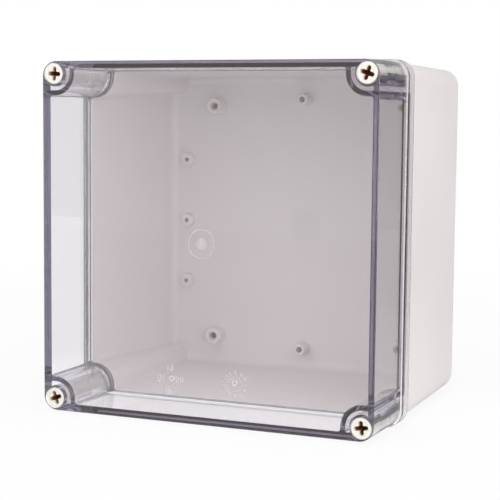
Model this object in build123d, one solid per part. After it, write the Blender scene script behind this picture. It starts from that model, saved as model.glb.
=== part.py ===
from build123d import *
from math import atan2, degrees
import os

# A square plastic wall box: a deep opaque base closed by a high clear cover.
# The box is drawn with X to the right, Y as the depth behind the front face
# and Z up from its middle, and is moved to its own frame when it is written:
# there the origin is the middle of the bottom of its bounding box.

# Overall size, in millimetres
WIDTH = 180.0              # across the skirt of the cover, and its height too
DEPTH = 145.0              # front face to back face

# Clear cover
FRONT_STEP = 1.5           # sides of the front face inside those of the skirt
FRONT_RADIUS = 7.4         # upright corners of the front face
FRONT_EDGE = 0.4           # rounding of the front edge
COVER_DRAFT = 0.5          # growth of the half width from the front to the seat
PLATE_WALL = 3.0           # front plate
COVER_WALL = 3.5           # side walls
SEAT_DEPTH = 43.5          # depth of the face that presses the gasket
SKIRT_LAP = 7.5            # how far the skirt reaches behind the seat
SKIRT_HEIGHT = 11.0        # whole height of the skirt's band
SKIRT_WALL = 1.6
SKIRT_RADIUS = 8.9
SKIRT_EDGE = 0.5
RIM_HEIGHT = 6.5           # thick rim inside the cover, next to the seat
RIM_BEVEL = 3.4            # length of the slope that leads to it
POCKET_REACH = 10.7        # screw axis to the cavity side of a pocket wall
POCKET_WALL = 2.5
TUBE_RADIUS = 6.3          # tube round each cover screw
CORNER_BLEND = 1.5         # small roundings inside the cavities

# Cover screws
SCREW_INSET = 6.3          # screw axis to the sides of the front face
HEAD_RADIUS = 5.2
HEAD_LENGTH = 12.0
HEAD_SINK = 0.2            # head face behind the front face
HEAD_GAP = 0.1             # round the head in its counterbore
HEAD_EDGE = 0.5
SHANK_RADIUS = 2.95
SHANK_GAP = 0.45           # round the shank in the tube
THREAD_PITCH = 2.0
THREAD_DEPTH = 0.45
THREAD_TURNS = 6
THREAD_STEPS = (0.2, 0.5, 0.6, 0.9)   # edges of a groove, as shares of the pitch
TIP_LENGTH = 1.2           # bevelled end past the thread
TIP_BEVEL = 0.9
DISH_RADIUS = 3.75         # shallow dish round the cross recess
DISH_DEPTH = 0.4
DRIVE_SPAN = 7.0           # across the cross recess
DRIVE_ARM = 2.2            # width of each arm
DRIVE_HUB = 1.7            # radius of the round hole where the arms cross
DRIVE_DEPTH = 8.0          # below the dish
DRIVE_TAPER = 3.0          # degrees
DRIVE_ANGLES = (-4.0, -19.0, 20.0, 7.0)   # how each head stands, anticlockwise from the front
SCREW_TRAVEL = 14.0        # how far a screw backs out of the cover
TRAVEL_SPARE = 0.4

# Retaining rings, snapped on the screws behind the cover
RING_THICK = 1.2
RING_RADIUS = 4.3
RING_GAP = 0.05            # ring to groove, all round
RING_SIDE_GAP = 0.1
RING_SPLIT = 1.6
RING_SETBACK = 0.9         # ring to the end of its tube
RING_BORE_GAP = 0.3        # round the ring in the end of the tube
GROOVE_CUT = 0.35          # depth of the ring's groove in the shank

# Bushes in the columns of the base
BUSH_RADIUS = 4.0
BUSH_LENGTH = 12.0
BUSH_FLANGE_RADIUS = 4.8
BUSH_FLANGE_THICK = 1.0
BUSH_SINK = 0.3            # below the top of the column
THREAD_GAP = 0.05          # screw in bush
TIP_ROOM = 2.0             # past the screw's tip
PRESS_GAP = 0.02           # round a pressed-in bush or insert

# Base
BASE_STEP = 1.1            # sides of the base inside those of the skirt
BASE_DRAFT = 1.0           # how far each side draws in on its way to the back
BASE_RADIUS = 9.0
BASE_EDGE = 5.0            # rounding between the sides and the back
BASE_WALL = 4.4            # side walls at the mouth
BACK_WALL = 3.5
INSIDE_DRAFT = 0.5         # how far each inside wall draws in on its way to the back
INSIDE_EDGE = 4.5          # rounding between each inside wall and the back wall
EDGE_SPARE = 0.1           # sides of the block that rounds them, outside the inside walls
COLUMN_REACH = 11.6        # screw axis to the cavity side of a column, at the mouth
COLUMN_BACK_REACH = 7.6    # the same at the back wall
RIM_GAP = 0.3              # rim of the base inside the skirt
SKIRT_GAP = 0.3            # behind the skirt's free edge
TONGUE_WALL = 1.2
TONGUE_GAP = 0.4           # tongue to the cover's seat

# Gasket
GASKET_WIDTH = 2.2
GASKET_HEIGHT = 2.8
GASKET_GAP = 0.1

# Bosses on the back wall; an inset is from a boss's axis to the nearest inside wall
PLATE_BOSS_INSET_X = 29.4
PLATE_BOSS_INSET_Z = 16.6
PLATE_BOSS_RADIUS = 4.7
PLATE_BOSS_HEIGHT = 7.8
PLATE_HOLE_RADIUS = 2.5
PLATE_HOLE_SPARE = 1.5     # hole below the insert
INSERT_SINK = 2.2
INSERT_LENGTH = 5.9
INSERT_BORE = 1.65
INSERT_KNURL = 0.15        # depth of the grooves round an insert
INSERT_BAND = 1.15         # width of each groove and of each band between them
MIDDLE_BOSS_INSET = 12.5
MIDDLE_BOSS_RADIUS = 3.2
MIDDLE_BOSS_ROOT = 4.0
MIDDLE_BOSS_HEIGHT = 7.7
MIDDLE_HOLE_RADIUS = 1.75
MIDDLE_HOLE_DEPTH = 9.0
SIDE_BOSS_INSET = 9.9
SIDE_BOSS_SPACING = 35.9   # between neighbours along a side wall
SIDE_BOSS_RADIUS = 3.85
SIDE_BOSS_HEIGHT = 3.5
SIDE_HOLE_RADIUS = 1.3
SIDE_HOLE_DEPTH = 5.3
BOSS_DRAFT = 0.3           # growth of a boss's radius down to the wall
BOSS_EDGE = 0.5            # rounding of a boss's front edge
GATE_RADIUS = 9.2
GATE_HEIGHT = 0.3

# Holes for wall lugs in the back face
LUG_INSET = 8.65           # hole axis to the sides of the back face
LUG_HOLE_RADIUS = 2.1
LUG_HOLE_DEPTH = 20.0
LUG_SPOT_RADIUS = 3.4      # shallow round spot that each hole opens in
LUG_SPOT_DEPTH = 0.5

# Worked out from the sizes above
OVERSHOOT = 1.0            # how far a cut runs past a face
TOLERANCE = 0.01           # for telling places apart
FRONT_HALF = WIDTH / 2 - FRONT_STEP
AXIS = FRONT_HALF - SCREW_INSET
CORNERS = ((-1, 1), (1, 1), (-1, -1), (1, -1))
CORNER_NAMES = ("top_left", "top_right", "bottom_left", "bottom_right")
SKIRT_DEPTH = SEAT_DEPTH + SKIRT_LAP
SKIRT_FRONT = SKIRT_DEPTH - SKIRT_HEIGHT
SKIRT_INSIDE = WIDTH / 2 - SKIRT_WALL
RIM_OUTSIDE = SKIRT_INSIDE - RIM_GAP
BASE_HALF = WIDTH / 2 - BASE_STEP
BACK_HALF = BASE_HALF - BASE_DRAFT
MOUTH_INSIDE = BASE_HALF - BASE_WALL
BACK_INSIDE = MOUTH_INSIDE - INSIDE_DRAFT
TONGUE_OUTSIDE = MOUTH_INSIDE + TONGUE_WALL
TONGUE_REACH = COLUMN_REACH - TONGUE_WALL
GASKET_INSIDE = TONGUE_OUTSIDE + GASKET_GAP
GASKET_REACH = TONGUE_REACH - GASKET_GAP
LEDGE_DEPTH = SEAT_DEPTH + GASKET_HEIGHT
FLOOR_DEPTH = DEPTH - BACK_WALL
HEAD_END = HEAD_SINK + HEAD_LENGTH
GROOVE_RADIUS = SHANK_RADIUS - GROOVE_CUT
RING_FRONT = SEAT_DEPTH - RING_SETBACK - RING_THICK
BUSH_FRONT = SEAT_DEPTH + BUSH_SINK
THREAD_START = SEAT_DEPTH
SCREW_END = THREAD_START + THREAD_TURNS * THREAD_PITCH + TIP_LENGTH


def level(depth):
    """Drawing plane at a depth behind the front face, seen from the front."""
    return Plane(origin=(0, depth, 0), x_dir=(1, 0, 0), z_dir=(0, -1, 0))


def slab(outline, front, back):
    """An outline carried straight from one depth to another."""
    return extrude(level(back) * outline, amount=back - front)


def drafted(front_outline, front, back_outline, back):
    """A drafted body between two outlines of the same kind."""
    return loft([level(front) * front_outline, level(back) * back_outline], ruled=True)


def rod(x, z, radius, front, back):
    return slab(Pos(x, z) * Circle(radius), front, back)


def cone(x, z, front_radius, front, back_radius, back):
    return drafted(Pos(x, z) * Circle(front_radius), front, Pos(x, z) * Circle(back_radius), back)


def turned(points):
    """A body of revolution about the depth axis, from (radius, depth) points."""
    return revolve(make_face(Polyline(*points, close=True)), axis=Axis.Y)


def rounded_square(half, radius):
    return RectangleRounded(2 * half, 2 * half, radius)


def notched_square(half, reach):
    """A square that steps in round each screw column with an arc of radius reach."""
    notch = AXIS - reach
    outline = Rectangle(2 * half, 2 * half)
    for sx, sz in CORNERS:
        middle = (notch + WIDTH) / 2
        outline -= Pos(sx * middle, sz * middle) * Rectangle(WIDTH - notch, WIDTH - notch)
    inner = [v for v in outline.vertices() if max(abs(v.X), abs(v.Y)) < half - TOLERANCE]
    outline = fillet(inner, reach)
    outer = [v for v in outline.vertices() if max(abs(v.X), abs(v.Y)) > half - TOLERANCE]
    return fillet(outer, CORNER_BLEND)


def mirrored_four(x, z):
    return [(sx * x, sz * z) for sx, sz in CORNERS]


def screw_places():
    return mirrored_four(AXIS, AXIS)


def corner_pocket(sx, sz, front, back):
    """The hollow between a screw tube and its pocket wall."""
    inside = POCKET_REACH - POCKET_WALL
    low = AXIS - inside
    high = FRONT_HALF - COVER_WALL
    outline = Pos((low + high) / 2, (low + high) / 2) * Rectangle(high - low, high - low)
    outline = fillet([v for v in outline.vertices() if v.X < AXIS and v.Y < AXIS], inside)
    outline -= Pos(AXIS, AXIS) * Circle(TUBE_RADIUS)
    pocket = slab(outline, front, back)
    if sx < 0:
        pocket = mirror(pocket, about=Plane.YZ)
    if sz < 0:
        pocket = mirror(pocket, about=Plane.XY)
    return pocket


def cover_shell():
    """Drafted block of the cover with its skirt band, still solid."""
    body = drafted(rounded_square(FRONT_HALF, FRONT_RADIUS), 0,
                   rounded_square(FRONT_HALF + COVER_DRAFT, FRONT_RADIUS + COVER_DRAFT), SEAT_DEPTH)
    body = fillet(body.faces().sort_by(Axis.Y)[0].edges(), FRONT_EDGE)
    skirt = slab(rounded_square(WIDTH / 2, SKIRT_RADIUS), SKIRT_FRONT, SKIRT_DEPTH)
    skirt_faces = skirt.faces().sort_by(Axis.Y)
    skirt = fillet(skirt_faces[0].edges() + skirt_faces[-1].edges(), SKIRT_EDGE)
    return body + skirt


def cover_cavity():
    """The room inside the cover, narrowed by the thick rim next to the seat."""
    wall_face = FRONT_HALF - COVER_WALL
    rim_front = SEAT_DEPTH - RIM_HEIGHT
    rim_full = rim_front + RIM_BEVEL
    front_outline = notched_square(wall_face, POCKET_REACH)
    back_outline = notched_square(wall_face + COVER_DRAFT, POCKET_REACH)
    rim_outline = notched_square(MOUTH_INSIDE, COLUMN_REACH)
    room = drafted(front_outline, PLATE_WALL, back_outline, rim_front)
    room += drafted(back_outline, rim_front, rim_outline, rim_full)
    return room + slab(rim_outline, rim_full, SEAT_DEPTH + OVERSHOOT)


def make_clear_cover():
    cover = cover_shell() - cover_cavity()
    skirt_room = rounded_square(SKIRT_INSIDE, SKIRT_RADIUS - SKIRT_WALL)
    cover -= slab(skirt_room, SEAT_DEPTH, SKIRT_DEPTH + OVERSHOOT)
    ring_bore = RING_RADIUS + RING_BORE_GAP
    ring_room_front = RING_FRONT - SCREW_TRAVEL - TRAVEL_SPARE
    for (sx, sz), (x, z) in zip(CORNERS, screw_places()):
        cover -= corner_pocket(sx, sz, PLATE_WALL, SEAT_DEPTH + OVERSHOOT)
        cover -= rod(x, z, HEAD_RADIUS + HEAD_GAP, -OVERSHOOT, HEAD_END)
        cover -= rod(x, z, SHANK_RADIUS + SHANK_GAP, HEAD_END - OVERSHOOT, SEAT_DEPTH + OVERSHOOT)
        cover -= rod(x, z, ring_bore, ring_room_front, SEAT_DEPTH + OVERSHOOT)
    return cover


def drive_recess(angle):
    """Shallow dish and tapered cross in a screw head."""
    floor = HEAD_SINK + DISH_DEPTH
    dish = rod(0, 0, DISH_RADIUS, HEAD_SINK - OVERSHOOT, floor)
    arm = SlotOverall(DRIVE_SPAN, DRIVE_ARM)
    cross = arm + Rot(0, 0, 90) * arm + Circle(DRIVE_HUB)
    inward = Plane(origin=(0, floor, 0), x_dir=(1, 0, 0), z_dir=(0, 1, 0))
    recess = extrude(inward * (Rot(0, 0, -angle) * cross), amount=DRIVE_DEPTH, taper=DRIVE_TAPER)
    return dish + recess


def screw_profile():
    """Half section of a cover screw, as (radius, depth) points."""
    groove_front = RING_FRONT - RING_SIDE_GAP
    groove_back = RING_FRONT + RING_THICK + RING_SIDE_GAP
    points = [(0, HEAD_SINK), (HEAD_RADIUS - HEAD_EDGE, HEAD_SINK), (HEAD_RADIUS, HEAD_SINK + HEAD_EDGE),
              (HEAD_RADIUS, HEAD_END), (SHANK_RADIUS, HEAD_END)]
    points += [(SHANK_RADIUS, groove_front), (GROOVE_RADIUS, groove_front),
               (GROOVE_RADIUS, groove_back), (SHANK_RADIUS, groove_back)]
    root = SHANK_RADIUS - THREAD_DEPTH
    radii = (SHANK_RADIUS, root, root, SHANK_RADIUS)
    for turn in range(THREAD_TURNS):
        depths = [THREAD_START + (turn + step) * THREAD_PITCH for step in THREAD_STEPS]
        points += list(zip(radii, depths))
    points += [(SHANK_RADIUS, SCREW_END - TIP_LENGTH), (SHANK_RADIUS - TIP_BEVEL, SCREW_END), (0, SCREW_END)]
    return points


def make_cover_screw(x, z, angle):
    screw = turned(screw_profile()) - drive_recess(angle)
    return Pos(x, 0, z) * screw


def make_retaining_ring(x, z):
    """A snap ring, open towards the middle of the box."""
    ring = Circle(RING_RADIUS) - Circle(GROOVE_RADIUS + RING_GAP)
    ring -= Pos(-RING_RADIUS, 0) * Rectangle(2 * RING_RADIUS, RING_SPLIT)
    outward = degrees(atan2(z, x))
    return slab(Pos(x, z) * Rot(0, 0, outward) * ring, RING_FRONT, RING_FRONT + RING_THICK)


def make_screw_bush(x, z):
    bore = SHANK_RADIUS + THREAD_GAP
    flange_back = BUSH_FRONT + BUSH_FLANGE_THICK
    profile = [(bore, BUSH_FRONT), (BUSH_FLANGE_RADIUS, BUSH_FRONT), (BUSH_FLANGE_RADIUS, flange_back),
               (BUSH_RADIUS, flange_back), (BUSH_RADIUS, BUSH_FRONT + BUSH_LENGTH),
               (bore, BUSH_FRONT + BUSH_LENGTH)]
    return Pos(x, 0, z) * turned(profile)


def make_plate_insert(x, z):
    """A brass insert with grooves round it, sunk in a boss."""
    front = FLOOR_DEPTH - PLATE_BOSS_HEIGHT + INSERT_SINK
    outside = PLATE_HOLE_RADIUS - PRESS_GAP
    points = [(INSERT_BORE, front), (outside, front)]
    bands = round(INSERT_LENGTH / (2 * INSERT_BAND)) - 1
    for band in range(bands):
        groove = front + (2 * band + 1) * INSERT_BAND
        points += [(outside, groove), (outside - INSERT_KNURL, groove),
                   (outside - INSERT_KNURL, groove + INSERT_BAND), (outside, groove + INSERT_BAND)]
    points += [(outside, front + INSERT_LENGTH), (INSERT_BORE, front + INSERT_LENGTH)]
    return Pos(x, 0, z) * turned(points)


def base_block():
    """Outer form of the base, still solid: body, rim, tongue and column tops."""
    body_front = SKIRT_DEPTH + SKIRT_GAP
    body = drafted(rounded_square(BASE_HALF, BASE_RADIUS), body_front,
                   rounded_square(BACK_HALF, BASE_RADIUS), DEPTH)
    body = fillet(body.faces().sort_by(Axis.Y)[-1].edges(), BASE_EDGE)
    rim_outline = rounded_square(RIM_OUTSIDE, SKIRT_RADIUS - SKIRT_WALL - RIM_GAP)
    body += slab(rim_outline, LEDGE_DEPTH, body_front)
    body += slab(notched_square(TONGUE_OUTSIDE, TONGUE_REACH), SEAT_DEPTH + TONGUE_GAP, LEDGE_DEPTH)
    pad_reach = GASKET_REACH - GASKET_WIDTH - GASKET_GAP
    pads = rim_outline - notched_square(RIM_OUTSIDE + OVERSHOOT, pad_reach)
    return body + slab(pads, SEAT_DEPTH, LEDGE_DEPTH)


def base_cavity():
    """The room inside the base: a block with rounded back edges, less the columns."""
    front_side = 2 * (MOUTH_INSIDE + EDGE_SPARE)
    back_side = 2 * (BACK_INSIDE + EDGE_SPARE)
    block = drafted(Rectangle(front_side, front_side), SEAT_DEPTH - OVERSHOOT,
                    Rectangle(back_side, back_side), FLOOR_DEPTH)
    block = fillet(block.faces().sort_by(Axis.Y)[-1].edges(), INSIDE_EDGE + EDGE_SPARE)
    mouth = notched_square(MOUTH_INSIDE, COLUMN_REACH)
    return block & drafted(mouth, SEAT_DEPTH, notched_square(BACK_INSIDE, COLUMN_BACK_REACH), FLOOR_DEPTH)


def column_holes():
    """Seats of the bushes in the columns, and the lug holes behind them."""
    cuts = []
    flange_back = BUSH_FRONT + BUSH_FLANGE_THICK
    bush_back = BUSH_FRONT + BUSH_LENGTH
    for x, z in screw_places():
        cuts.append(rod(x, z, BUSH_FLANGE_RADIUS + PRESS_GAP, SEAT_DEPTH - OVERSHOOT, flange_back))
        cuts.append(rod(x, z, BUSH_RADIUS + PRESS_GAP, SEAT_DEPTH, bush_back))
        cuts.append(rod(x, z, SHANK_RADIUS + SHANK_GAP, SEAT_DEPTH, SCREW_END + TIP_ROOM))
    lug_axis = BACK_HALF - LUG_INSET
    for x, z in mirrored_four(lug_axis, lug_axis):
        cuts.append(rod(x, z, LUG_HOLE_RADIUS, DEPTH - LUG_HOLE_DEPTH, DEPTH + OVERSHOOT))
        cuts.append(rod(x, z, LUG_SPOT_RADIUS, DEPTH - LUG_SPOT_DEPTH, DEPTH + OVERSHOOT))
    return cuts


def plate_boss_places():
    return mirrored_four(BACK_INSIDE - PLATE_BOSS_INSET_X, BACK_INSIDE - PLATE_BOSS_INSET_Z)


def middle_boss_places():
    return [(0, side * (BACK_INSIDE - MIDDLE_BOSS_INSET)) for side in (1, -1)]


def side_boss_places():
    reach = BACK_INSIDE - SIDE_BOSS_INSET
    rows = [row * SIDE_BOSS_SPACING for row in (1, 0, -1)]
    return [(side * reach, z) for side in (-1, 1) for z in rows]


def boss(x, z, radius, root, height):
    body = cone(x, z, radius, FLOOR_DEPTH - height, root, FLOOR_DEPTH + OVERSHOOT)
    return fillet(body.faces().sort_by(Axis.Y)[0].edges(), BOSS_EDGE)


def boss_hole(x, z, radius, height, depth):
    top = FLOOR_DEPTH - height
    return rod(x, z, radius, top - OVERSHOOT, top + depth)


def add_bosses(base):
    """Bosses and the round gate pad on the inside of the back wall."""
    plate_hole_depth = INSERT_SINK + INSERT_LENGTH + PLATE_HOLE_SPARE
    kinds = (
        (plate_boss_places(), PLATE_BOSS_RADIUS, PLATE_BOSS_RADIUS + BOSS_DRAFT, PLATE_BOSS_HEIGHT,
         PLATE_HOLE_RADIUS, plate_hole_depth),
        (middle_boss_places(), MIDDLE_BOSS_RADIUS, MIDDLE_BOSS_ROOT, MIDDLE_BOSS_HEIGHT,
         MIDDLE_HOLE_RADIUS, MIDDLE_HOLE_DEPTH),
        (side_boss_places(), SIDE_BOSS_RADIUS, SIDE_BOSS_RADIUS + BOSS_DRAFT, SIDE_BOSS_HEIGHT,
         SIDE_HOLE_RADIUS, SIDE_HOLE_DEPTH),
    )
    base += rod(0, 0, GATE_RADIUS, FLOOR_DEPTH - GATE_HEIGHT, FLOOR_DEPTH + OVERSHOOT)
    for places, radius, root, height, hole_radius, hole_depth in kinds:
        for x, z in places:
            base += boss(x, z, radius, root, height)
            base -= boss_hole(x, z, hole_radius, height, hole_depth)
    return base


def make_base_shell():
    base = base_block() - base_cavity()
    for cut in column_holes():
        base -= cut
    return add_bosses(base)


def make_cover_gasket():
    outer = notched_square(GASKET_INSIDE + GASKET_WIDTH, GASKET_REACH - GASKET_WIDTH)
    inner = notched_square(GASKET_INSIDE, GASKET_REACH)
    return slab(outer - inner, SEAT_DEPTH, LEDGE_DEPTH)


def all_parts():
    parts = {
        "base_shell": make_base_shell(),
        "clear_cover": make_clear_cover(),
        "cover_gasket": make_cover_gasket(),
    }
    for name, angle, (x, z) in zip(CORNER_NAMES, DRIVE_ANGLES, screw_places()):
        parts["cover_screw_" + name] = make_cover_screw(x, z, angle)
        parts["retaining_ring_" + name] = make_retaining_ring(x, z)
        parts["screw_bush_" + name] = make_screw_bush(x, z)
    for name, (x, z) in zip(CORNER_NAMES, plate_boss_places()):
        parts["plate_insert_" + name] = make_plate_insert(x, z)
    return parts


def main():
    os.makedirs("parts", exist_ok=True)
    to_own_frame = Pos(0, -DEPTH / 2, WIDTH / 2)
    for name, shape in all_parts().items():
        placed = to_own_frame * shape
        placed.label = name
        export_step(placed, "parts/" + name + ".step")


main()
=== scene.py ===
from math import cos, pi, radians, sin

import bmesh
import bpy
from mathutils import Matrix, Vector


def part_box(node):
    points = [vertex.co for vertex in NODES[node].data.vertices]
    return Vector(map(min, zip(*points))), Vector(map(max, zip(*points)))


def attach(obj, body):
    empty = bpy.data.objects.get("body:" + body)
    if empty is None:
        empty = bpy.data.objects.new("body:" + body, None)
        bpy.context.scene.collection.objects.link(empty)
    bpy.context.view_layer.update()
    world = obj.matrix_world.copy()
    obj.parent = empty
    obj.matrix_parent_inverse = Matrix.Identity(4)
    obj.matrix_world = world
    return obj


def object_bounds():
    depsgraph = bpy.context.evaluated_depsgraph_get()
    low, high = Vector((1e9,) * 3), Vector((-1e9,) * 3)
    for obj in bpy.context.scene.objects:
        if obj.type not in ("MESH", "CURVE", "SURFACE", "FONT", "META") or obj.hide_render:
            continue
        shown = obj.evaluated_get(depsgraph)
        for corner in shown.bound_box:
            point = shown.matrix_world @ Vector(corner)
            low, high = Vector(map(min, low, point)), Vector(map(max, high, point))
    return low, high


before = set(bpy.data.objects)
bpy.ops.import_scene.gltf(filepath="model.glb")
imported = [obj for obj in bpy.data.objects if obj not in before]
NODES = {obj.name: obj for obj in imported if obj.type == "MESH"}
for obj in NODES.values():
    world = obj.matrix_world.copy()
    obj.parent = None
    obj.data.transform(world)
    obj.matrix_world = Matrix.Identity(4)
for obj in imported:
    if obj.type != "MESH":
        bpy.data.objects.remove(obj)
cad_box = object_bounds()

MM = 0.001
CORNERS = ("top_left", "top_right", "bottom_left", "bottom_right")
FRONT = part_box("clear_cover")[0][1]                    # depth of the front face
MIDDLE = (cad_box[0][2] + cad_box[1][2]) / 2           # height of the box's middle
SCREW_AXIS = 82.2 * MM                                 # each screw's axis from the middle, both ways
PLATE_BACK = FRONT + 3 * MM                            # inner face of the clear front plate
BACK_WALL = cad_box[1][1] - 3.5 * MM                   # inner face of the back wall

# Camera, found from the box's edges in the photograph
CAMERA_PLACE = (0.28327, -0.67793, 0.15294)
CAMERA_TURN = 23.07        # degrees to the left of straight at the front
CAMERA_DIP = 5.575         # degrees below level
CAMERA_ROLL = 0.5325
CAMERA_LENS = 100.14       # mm on a 36 mm sensor

# Marks that the moulds leave on the plate and on the back wall; places are from the middle
GATE_PLACE = (-1.0 * MM, 0.2 * MM)
GATE_RING = 7.15 * MM
GATE_SPOT = 2.8 * MM
GATE_BAR = 0.7 * MM        # width of the bar across the spot
DIAL_RADIUS = 5.5 * MM     # middle of the numbers
DIAL_RING = 3.5 * MM       # inside the numbers on the plate
WALL_RING = 1.1 * MM       # inside the numbers on the wall
PIN_RADII = (0.8 * MM, 1.45 * MM)
MONTH_HEIGHT = 2.0 * MM
YEAR_HEIGHT = 3.0 * MM
DIAL_PLACES = ((-17.8 * MM, -67.5 * MM), (17.6 * MM, -67.0 * MM))
PIN_SHIFTS = ((1.2 * MM, 0.5 * MM), (-0.4 * MM, 0.5 * MM))
WALL_DIAL_PLACES = ((-18.0 * MM, 67.0 * MM), (18.0 * MM, 67.5 * MM))
WALL_GATE = (0, BACK_WALL, MIDDLE)
GATE_PAD = (9.0 * MM, 9.4 * MM)           # radius of the tint, and where it has faded
EJECTOR_FADE = (1.4 * MM, 2.6 * MM)
EJECTOR_SPOTS = (          # on the bottom wall
    (-19.6 * MM, -16.5 * MM, 5.8 * MM),
    (23.1 * MM, -0.4 * MM, 5.8 * MM),
)
LINE = 0.35 * MM           # width of a drawn line
RELIEF = 0.08 * MM         # how far a mark stands off its face
RELIEF_GAP = 0.01 * MM     # behind a mark on the clear plate
SEGMENTS = 64

# Cross recess of each screw, from its axis and from the front face; painted shade darkens it with depth
RECESS_REACH = (3.6 * MM, 3.7 * MM)
RECESS_PAINTED_SHADE = (0.7 * MM, 3.2 * MM)
RECESS_END = (11.0 * MM, 11.2 * MM)

# Strength of the white surroundings for each kind of ray; the floor's have one value near and one far, and
# are painted light: a glow above white through the cover and a painted reflection in mirrors
AMBIENT = 0.38             # light on the object
SEEN_WHITE = 1.0           # straight from the camera
THROUGH_WALL = 1.02        # through the clear cover
PAINTED_FLOOR_GLOW = (1.42, 1.15)
MIRRORED_WALL = 0.36       # in mirroring surfaces
PAINTED_FLOOR_REFLECTION = (0.4, 0.02)
MIRROR_REACH = (0.12, 0.5)
THROUGH_REACH = (0.1, 0.2)
SHADOW_REACH = (0.15, 0.7)
FLOOR_HALF = 1.1
SHADOW_LEFT = 0.86         # share of white that the floor keeps next to the box

# Lamps: place, size and power; all point at the middle of the box
LAMPS = (
    ("right", (1.3, -0.4, 0.35), 1.4, 9.8),
    ("low_right", (1.2, -1.2, 0.1), 0.9, 11.0),
    ("top", (0.1, -0.1, 1.6), 1.4, 10.5),
    ("top_front", (0.2, -1.3, 1.5), 1.2, 5.0),
    ("left_front", (-1.0, -1.3, 0.5), 1.2, 9.0),
)
LAMP_AIM = (0, 0, 0.09)
UNMIRRORED_LAMP = "left_front"   # it would veil the upper half of the front plate
CARD_ENDS = ((0.16, 1.67), (1.64, 0.33))
CARD_HEIGHTS = (-0.3, 1.2)
CLEAR_BOUNCES = 40         # for light in the clear plastic
GLOSSY_BOUNCES = 24


def new_material(name):
    material = bpy.data.materials.new(name)
    material.use_nodes = True
    tree = material.node_tree
    tree.nodes.clear()
    output = tree.nodes.new("ShaderNodeOutputMaterial")
    shader = tree.nodes.new("ShaderNodeBsdfPrincipled")
    tree.links.new(shader.outputs["BSDF"], output.inputs["Surface"])
    return material, tree, shader


def own_place(tree):
    """The object's own coordinates, in metres."""
    return tree.nodes.new("ShaderNodeTexCoord").outputs["Object"]


def noise(tree, scale, detail=4.0, roughness=0.5):
    texture = tree.nodes.new("ShaderNodeTexNoise")
    texture.inputs["Scale"].default_value = scale
    texture.inputs["Detail"].default_value = detail
    texture.inputs["Roughness"].default_value = roughness
    tree.links.new(own_place(tree), texture.inputs["Vector"])
    return texture.outputs["Fac"]


def ramp(tree, value, low, high, low_color, high_color):
    """Two colours across part of a value's range."""
    node = tree.nodes.new("ShaderNodeValToRGB")
    node.color_ramp.elements[0].position = low
    node.color_ramp.elements[1].position = high
    node.color_ramp.elements[0].color = (*low_color, 1)
    node.color_ramp.elements[1].color = (*high_color, 1)
    tree.links.new(value, node.inputs["Fac"])
    return node.outputs["Color"]


def remap(tree, value, low, high, to_low, to_high):
    """A value's range mapped to another, held at its ends."""
    node = tree.nodes.new("ShaderNodeMapRange")
    node.inputs["From Min"].default_value = low
    node.inputs["From Max"].default_value = high
    node.inputs["To Min"].default_value = to_low
    node.inputs["To Max"].default_value = to_high
    tree.links.new(value, node.inputs["Value"])
    return node.outputs["Result"]


def math(tree, operation, first, second=0.0):
    """One sum or comparison of sockets or plain numbers."""
    node = tree.nodes.new("ShaderNodeMath")
    node.operation = operation
    for socket, value in zip(node.inputs, (first, second)):
        if isinstance(value, (int, float)):
            socket.default_value = value
        else:
            tree.links.new(value, socket)
    return node.outputs["Value"]


def bump(tree, shader, value, distance, strength=1.0):
    node = tree.nodes.new("ShaderNodeBump")
    node.inputs["Distance"].default_value = distance
    node.inputs["Strength"].default_value = strength
    tree.links.new(value, node.inputs["Height"])
    tree.links.new(node.outputs["Normal"], shader.inputs["Normal"])


def tinted(tree, color, share, tint):
    """A colour mixed with a tint, by a share between 0 and 1."""
    node = tree.nodes.new("ShaderNodeMix")
    node.data_type = "RGBA"
    node.inputs["B"].default_value = (*tint, 1)
    tree.links.new(share, node.inputs["Factor"])
    tree.links.new(color, node.inputs["A"])
    return node.outputs["Result"]


def near(tree, place, inner, outer):
    """1 within the inner radius of a place, fading to 0 at the outer one."""
    node = tree.nodes.new("ShaderNodeVectorMath")
    node.operation = "DISTANCE"
    node.inputs[1].default_value = place
    tree.links.new(own_place(tree), node.inputs[0])
    return remap(tree, node.outputs["Value"], inner, outer, 1.0, 0.0)


def moulded_plastic(name, color, shade, grain, grain_depth, roughness):
    """Opaque moulded plastic: faint clouding, fine grain and uneven gloss."""
    material, tree, shader = new_material(name)
    clouds = noise(tree, 18.0, 3.0)
    tree.links.new(ramp(tree, clouds, 0.35, 0.65, shade, color), shader.inputs["Base Color"])
    gloss = remap(tree, clouds, 0.3, 0.7, roughness - 0.04, roughness + 0.04)
    tree.links.new(gloss, shader.inputs["Roughness"])
    bump(tree, shader, noise(tree, grain, 2.0), grain_depth)
    shader.inputs["IOR"].default_value = 1.5
    return material


def base_plastic():
    """The base's plastic, a trace darker on its gate pad and on two ejector spots."""
    material = moulded_plastic("base_plastic", (0.80, 0.755, 0.75), (0.785, 0.74, 0.735),
                               grain=2200.0, grain_depth=0.01 * MM, roughness=0.42)
    tree = material.node_tree
    shader = tree.nodes["Principled BSDF"]
    plain = shader.inputs["Base Color"].links[0].from_socket
    parts = tree.nodes.new("ShaderNodeSeparateXYZ")
    tree.links.new(own_place(tree), parts.inputs["Vector"])
    indoors = math(tree, "LESS_THAN", parts.outputs["Y"], BACK_WALL + MM)
    share = math(tree, "MULTIPLY", indoors, near(tree, WALL_GATE, *GATE_PAD))
    for place in EJECTOR_SPOTS:
        share = math(tree, "ADD", share, near(tree, place, *EJECTOR_FADE))
    faint = math(tree, "MULTIPLY", share, 0.3)
    tree.links.new(tinted(tree, plain, faint, (0.68, 0.64, 0.64)), shader.inputs["Base Color"])
    return material


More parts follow.
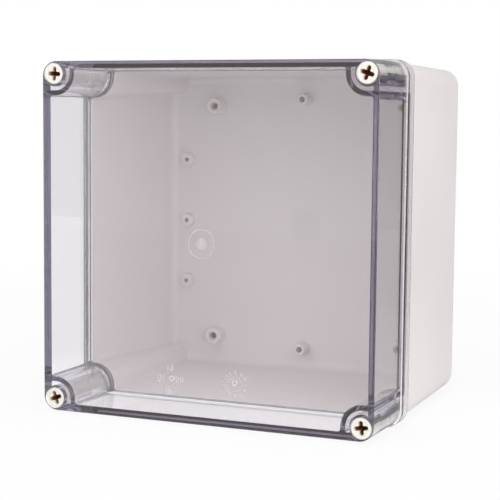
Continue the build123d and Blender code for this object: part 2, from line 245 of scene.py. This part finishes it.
def screw_plastic():
    """Ivory plastic; the deep cross recess of each head has painted shade, dark brown with depth."""
    material = moulded_plastic("screw_plastic", (0.83, 0.80, 0.73), (0.81, 0.78, 0.71),
                               grain=3000.0, grain_depth=0.01 * MM, roughness=0.35)
    tree = material.node_tree
    shader = tree.nodes["Principled BSDF"]
    plain = shader.inputs["Base Color"].links[0].from_socket
    parts = tree.nodes.new("ShaderNodeSeparateXYZ")
    tree.links.new(own_place(tree), parts.inputs["Vector"])
    across = math(tree, "SUBTRACT", math(tree, "ABSOLUTE", parts.outputs["X"]), SCREW_AXIS)
    height = math(tree, "ABSOLUTE", math(tree, "SUBTRACT", parts.outputs["Z"], MIDDLE))
    up = math(tree, "SUBTRACT", height, SCREW_AXIS)
    radius = math(tree, "SQRT", math(tree, "ADD", math(tree, "MULTIPLY", across, across),
                                     math(tree, "MULTIPLY", up, up)))
    # painted shade: dark brown deeper in the cross recess, behind the front face
    inside = remap(tree, radius, *RECESS_REACH, 1.0, 0.0)
    behind = math(tree, "SUBTRACT", parts.outputs["Y"], FRONT)
    depth = remap(tree, behind, *RECESS_PAINTED_SHADE, 0.0, 1.0)
    ahead = remap(tree, behind, *RECESS_END, 1.0, 0.0)
    share = math(tree, "MULTIPLY", math(tree, "MULTIPLY", inside, depth), ahead)
    tree.links.new(tinted(tree, plain, share, (0.32, 0.11, 0.035)), shader.inputs["Base Color"])
    return material


def clear_plastic():
    """Polished clear polycarbonate; light passes it as if it weren't there, so what it covers is lit."""
    material, tree, shader = new_material("clear_plastic")
    output = tree.nodes["Material Output"]
    shader.inputs["Base Color"].default_value = (0.986, 0.989, 0.976, 1)
    shader.inputs["Transmission Weight"].default_value = 0.955
    shader.inputs["IOR"].default_value = 1.58
    tree.links.new(remap(tree, noise(tree, 60.0), 0.3, 0.7, 0.0, 0.02), shader.inputs["Roughness"])
    passing = tree.nodes.new("ShaderNodeBsdfTransparent")
    passing.inputs["Color"].default_value = (0.95, 0.948, 0.94, 1)
    light_path = tree.nodes.new("ShaderNodeLightPath")
    mix = tree.nodes.new("ShaderNodeMixShader")
    tree.links.new(light_path.outputs["Is Shadow Ray"], mix.inputs["Fac"])
    tree.links.new(shader.outputs["BSDF"], mix.inputs[1])
    tree.links.new(passing.outputs["BSDF"], mix.inputs[2])
    tree.links.new(mix.outputs["Shader"], output.inputs["Surface"])
    absorption = tree.nodes.new("ShaderNodeVolumeAbsorption")
    absorption.inputs["Color"].default_value = (0.30, 0.21, 0.46, 1)
    absorption.inputs["Density"].default_value = 34.0
    tree.links.new(absorption.outputs["Volume"], output.inputs["Volume"])
    return material


def frosted_plastic(name, alpha):
    """Dull raised lines on the clear plate."""
    material, tree, shader = new_material(name)
    cloud = noise(tree, 4000.0, 2.0)
    color = ramp(tree, cloud, 0.3, 0.7, (0.93, 0.93, 0.95), (0.98, 0.98, 1.0))
    tree.links.new(color, shader.inputs["Base Color"])
    tree.links.new(remap(tree, cloud, 0.3, 0.7, 0.5, 0.7), shader.inputs["Roughness"])
    bump(tree, shader, cloud, 0.03 * MM)
    shader.inputs["Alpha"].default_value = alpha
    return material


def brass():
    material, tree, shader = new_material("brass")
    shader.inputs["Metallic"].default_value = 1.0
    wear = noise(tree, 900.0, 3.0)
    color = ramp(tree, wear, 0.3, 0.7, (0.62, 0.46, 0.31), (0.80, 0.63, 0.46))
    tree.links.new(color, shader.inputs["Base Color"])
    tree.links.new(remap(tree, wear, 0.3, 0.7, 0.3, 0.45), shader.inputs["Roughness"])
    bump(tree, shader, noise(tree, 2500.0), 0.02 * MM)
    return material


def dress(node, material):
    mesh = NODES[node].data
    mesh.materials.clear()
    mesh.materials.append(material)


def dress_all():
    """Every solid of the frame gets its material."""
    dress("base_shell", base_plastic())
    dress("clear_cover", clear_plastic())
    dress("cover_gasket", moulded_plastic("gasket_rubber", (0.20, 0.105, 0.085), (0.16, 0.08, 0.06),
                                          grain=1500.0, grain_depth=0.08 * MM, roughness=0.8))
    ivory = screw_plastic()
    natural = moulded_plastic("ring_plastic", (0.70, 0.69, 0.66), (0.66, 0.65, 0.62),
                              grain=3000.0, grain_depth=0.01 * MM, roughness=0.4)
    metal = brass()
    for corner in CORNERS:
        dress("cover_screw_" + corner, ivory)
        dress("retaining_ring_" + corner, natural)
        dress("screw_bush_" + corner, metal)
        dress("plate_insert_" + corner, metal)


def add_band(shape, x, z, inner, outer, front):
    """A flat ring that faces the front."""
    section = ((inner, front), (outer, front), (outer, front + RELIEF), (inner, front + RELIEF))
    corners = []
    for step in range(SEGMENTS):
        angle = 2 * pi * step / SEGMENTS
        corners.append([shape.verts.new((x + radius * cos(angle), depth, z + radius * sin(angle)))
                        for radius, depth in section])
    for here, there in zip(corners, corners[1:] + corners[:1]):
        for side in range(4):
            after = (side + 1) % 4
            shape.faces.new((here[side], here[after], there[after], there[side]))


def add_disc(shape, x, z, radius, front):
    """A flat disc that faces the front."""
    ring = [(x + radius * cos(2 * pi * step / SEGMENTS), z + radius * sin(2 * pi * step / SEGMENTS))
            for step in range(SEGMENTS)]
    near_face = [shape.verts.new((px, front, pz)) for px, pz in ring]
    far_face = [shape.verts.new((px, front + RELIEF, pz)) for px, pz in ring]
    shape.faces.new(near_face)
    shape.faces.new(far_face[::-1])
    for step in range(SEGMENTS):
        after = (step + 1) % SEGMENTS
        shape.faces.new((near_face[step], far_face[step], far_face[after], near_face[after]))


def add_bar(shape, x, z, width, height, front):
    """A flat upright bar that faces the front."""
    place = Matrix.Translation((x, front + RELIEF / 2, z))
    bmesh.ops.create_cube(shape, size=1.0, matrix=place @ Matrix.Diagonal((width, RELIEF, height, 1)))


def add_number(shape, text, x, z, height, turn, front):
    """A number that faces the front, turned anticlockwise by an angle."""
    curve = bpy.data.curves.new("number", "FONT")
    curve.body = text
    curve.size = 1.4 * height              # capitals are about 0.7 of the size
    curve.align_x = "CENTER"
    curve.align_y = "CENTER"
    curve.extrude = RELIEF / 2
    holder = bpy.data.objects.new("number", curve)
    mesh = bpy.data.meshes.new_from_object(holder)
    place = Matrix.Translation((x, front + RELIEF / 2, z))
    mesh.transform(place @ Matrix.Rotation(-turn, 4, "Y") @ Matrix.Rotation(pi / 2, 4, "X"))
    shape.from_mesh(mesh)
    bpy.data.objects.remove(holder)
    bpy.data.curves.remove(curve)
    bpy.data.meshes.remove(mesh)


def add_piece(name, shape, material, body):
    bmesh.ops.recalc_face_normals(shape, faces=shape.faces)
    mesh = bpy.data.meshes.new(name)
    shape.to_mesh(mesh)
    shape.free()
    mesh.materials.append(material)
    piece = bpy.data.objects.new(name, mesh)
    bpy.context.scene.collection.objects.link(piece)
    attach(piece, body)


def month_numbers(shape, x, z, front):
    """The numbers 1 to 12 round a dial."""
    for number in range(1, 13):
        angle = radians(150 - 30 * number)
        add_number(shape, str(number), x + DIAL_RADIUS * cos(angle), z + DIAL_RADIUS * sin(angle),
                   MONTH_HEIGHT, angle - pi / 2, front)


def year_numbers(shape, x, z, front):
    """Four two-digit numbers at the sides of a dial."""
    for text, angle in (("10", pi / 2), ("20", 0.0), ("30", -pi / 2), ("40", pi)):
        add_number(shape, text, x + DIAL_RADIUS * cos(angle), z + DIAL_RADIUS * sin(angle),
                   YEAR_HEIGHT, angle - pi / 2 if angle else 0.0, front)


def plate_marks():
    """Gate mark and two mould dials on the inner face of the clear plate."""
    lines = frosted_plastic("frosted_lines", 0.3)
    spot = frosted_plastic("frosted_spot", 0.11)
    pins = frosted_plastic("frosted_pins", 0.45)
    front = PLATE_BACK + RELIEF_GAP
    x, z = GATE_PLACE
    shape = bmesh.new()
    add_band(shape, x, MIDDLE + z, GATE_RING - LINE, GATE_RING, front)
    add_piece("plate_gate_ring", shape, lines, "cover")
    shape = bmesh.new()
    add_disc(shape, x, MIDDLE + z, GATE_SPOT, front + RELIEF)
    add_bar(shape, x, MIDDLE + z, GATE_BAR, 2 * GATE_SPOT - GATE_BAR, front)
    add_piece("plate_gate_spot", shape, spot, "cover")
    dials = zip(("year", "month"), (year_numbers, month_numbers), DIAL_PLACES, PIN_SHIFTS)
    for name, numbers, (x, z), (across, up) in dials:
        z += MIDDLE
        shape = bmesh.new()
        numbers(shape, x, z, front)
        add_band(shape, x, z, DIAL_RING, DIAL_RING + LINE / 2, front)
        add_piece("plate_%s_dial" % name, shape, lines, "cover")
        shape = bmesh.new()
        add_band(shape, x + across, z + up, *PIN_RADII, front)
        add_piece("plate_%s_pin" % name, shape, pins, "cover")


def wall_marks():
    """Faint mould dials on the back wall, coloured darker as painted shade for their relief."""
    # painted shade: the dials' plastic is darker than the wall's, for the shade their relief would cast
    raised = moulded_plastic("base_marks_painted_shade", (0.74, 0.70, 0.695), (0.72, 0.68, 0.675),
                             grain=2200.0, grain_depth=0.01 * MM, roughness=0.42)
    front = BACK_WALL - RELIEF
    for name, numbers, (x, z) in zip(("year", "month"), (year_numbers, month_numbers), WALL_DIAL_PLACES):
        z += MIDDLE
        shape = bmesh.new()
        numbers(shape, x, z, front)
        add_band(shape, x, z, WALL_RING, WALL_RING + LINE, front)
        add_piece("wall_%s_dial" % name, shape, raised, "base")


def add_camera():
    data = bpy.data.cameras.new("camera")
    data.lens = CAMERA_LENS
    data.sensor_width = 36.0
    data.clip_start = 0.01
    data.clip_end = 50.0
    camera = bpy.data.objects.new("camera", data)
    bpy.context.scene.collection.objects.link(camera)
    turn = Matrix.Rotation(radians(CAMERA_TURN), 4, "Z")
    dip = Matrix.Rotation(radians(90 - CAMERA_DIP), 4, "X")
    roll = Matrix.Rotation(radians(CAMERA_ROLL), 4, "Z")
    camera.matrix_world = Matrix.Translation(CAMERA_PLACE) @ turn @ dip @ roll
    bpy.context.scene.camera = camera


def soft_light(name, place, size, power):
    """A square lamp that rays don't see after they have passed clear plastic."""
    data = bpy.data.lights.new(name, "AREA")
    data.shape = "SQUARE"
    data.size = size
    data.energy = power
    light = bpy.data.objects.new(name, data)
    bpy.context.scene.collection.objects.link(light)
    light.location = place
    light.visible_transmission = False
    light.visible_glossy = name != UNMIRRORED_LAMP
    light.rotation_euler = (Vector(LAMP_AIM) - Vector(place)).to_track_quat("-Z", "Y").to_euler()


def background(tree, color, strength):
    node = tree.nodes.new("ShaderNodeBackground")
    node.inputs["Color"].default_value = (*color, 1)
    node.inputs["Strength"].default_value = strength
    return node.outputs["Background"]


def mixed(tree, share, first, second):
    node = tree.nodes.new("ShaderNodeMixShader")
    tree.links.new(share, node.inputs["Fac"])
    tree.links.new(first, node.inputs[1])
    tree.links.new(second, node.inputs[2])
    return node.outputs["Shader"]


def emission(tree, strength):
    """White light of one strength, plain or from a socket."""
    node = tree.nodes.new("ShaderNodeEmission")
    if isinstance(strength, (int, float)):
        node.inputs["Strength"].default_value = strength
    else:
        tree.links.new(strength, node.inputs["Strength"])
    return node.outputs["Emission"]


def add_world():
    """Soft studio light; what shows behind the box is white, and what it mirrors is a pale room."""
    world = bpy.data.worlds.new("studio")
    bpy.context.scene.world = world
    world.use_nodes = True
    tree = world.node_tree
    tree.nodes.clear()
    output = tree.nodes.new("ShaderNodeOutputWorld")
    light_path = tree.nodes.new("ShaderNodeLightPath")
    rays = background(tree, (0.95, 0.95, 0.97), AMBIENT)
    kinds = (("Glossy", MIRRORED_WALL), ("Transmission", THROUGH_WALL), ("Camera", SEEN_WHITE))
    for kind, strength in kinds:
        share = light_path.outputs["Is %s Ray" % kind]
        rays = mixed(tree, share, rays, background(tree, (1, 1, 1), strength))
    tree.links.new(rays, output.inputs["Surface"])


def add_plane(name, corners):
    mesh = bpy.data.meshes.new(name)
    mesh.from_pydata(corners, [], [(0, 1, 2, 3)])
    plane = bpy.data.objects.new(name, mesh)
    bpy.context.scene.collection.objects.link(plane)
    return plane


def add_floor():
    """A pale floor that keeps the shadow and fades to white; mirrors see a painted reflection of it, grey
    near the box and dark far off, and the clear cover sees a painted glow, brighter than white near the box.
    """
    half = FLOOR_HALF
    floor = add_plane("floor", [(-half, -half, 0), (half, -half, 0), (half, half, 0), (-half, half, 0)])
    material, tree, shader = new_material("floor")
    faint = noise(tree, 3.0)
    color = ramp(tree, faint, 0.3, 0.7, (0.93, 0.93, 0.93), (0.95, 0.95, 0.95))
    tree.links.new(color, shader.inputs["Base Color"])
    shader.inputs["Roughness"].default_value = 0.9
    distance = tree.nodes.new("ShaderNodeVectorMath")
    distance.operation = "LENGTH"
    tree.links.new(own_place(tree), distance.inputs[0])
    away = distance.outputs["Value"]
    light_path = tree.nodes.new("ShaderNodeLightPath")
    # painted reflection: mirrors see the floor as a set grey, fading to dark far off
    mirrored = emission(tree, remap(tree, away, *MIRROR_REACH, *PAINTED_FLOOR_REFLECTION))
    rays = mixed(tree, light_path.outputs["Is Glossy Ray"], shader.outputs["BSDF"], mirrored)
    # painted glow: through the cover the floor is brighter than white near the box, with no shadow under it
    through = emission(tree, remap(tree, away, *THROUGH_REACH, *PAINTED_FLOOR_GLOW))
    rays = mixed(tree, light_path.outputs["Is Transmission Ray"], rays, through)
    fade = remap(tree, away, *SHADOW_REACH, SHADOW_LEFT, 1.0)
    share = math(tree, "MULTIPLY", fade, light_path.outputs["Is Camera Ray"])
    rays = mixed(tree, share, rays, emission(tree, SEEN_WHITE))
    tree.links.new(rays, tree.nodes["Material Output"].inputs["Surface"])
    floor.data.materials.append(material)


def add_side_card():
    """A dark card behind the right side, which only reflections see."""
    left, right = CARD_ENDS
    low, high = CARD_HEIGHTS
    card = add_plane("side_card", [(*left, low), (*right, low), (*right, high), (*left, high)])
    material, tree, shader = new_material("dark_card")
    tree.links.new(ramp(tree, noise(tree, 5.0), 0.3, 0.7, (0.025, 0.015, 0.012), (0.035, 0.02, 0.018)),
                   shader.inputs["Base Color"])
    shader.inputs["Roughness"].default_value = 0.9
    card.data.materials.append(material)
    card.visible_camera = False
    card.visible_diffuse = False
    card.visible_transmission = False
    card.visible_shadow = False


def add_lights():
    """Lamps light the inside through the cover's shadows alone, so it isn't lit twice."""
    for lamp in LAMPS:
        soft_light(*lamp)


dress_all()
plate_marks()
wall_marks()
add_camera()
add_world()
add_floor()
add_side_card()
add_lights()

bpy.context.scene.view_settings.view_transform = "Standard"
bpy.context.scene.cycles.max_bounces = CLEAR_BOUNCES
bpy.context.scene.cycles.transmission_bounces = CLEAR_BOUNCES
bpy.context.scene.cycles.glossy_bounces = GLOSSY_BOUNCES
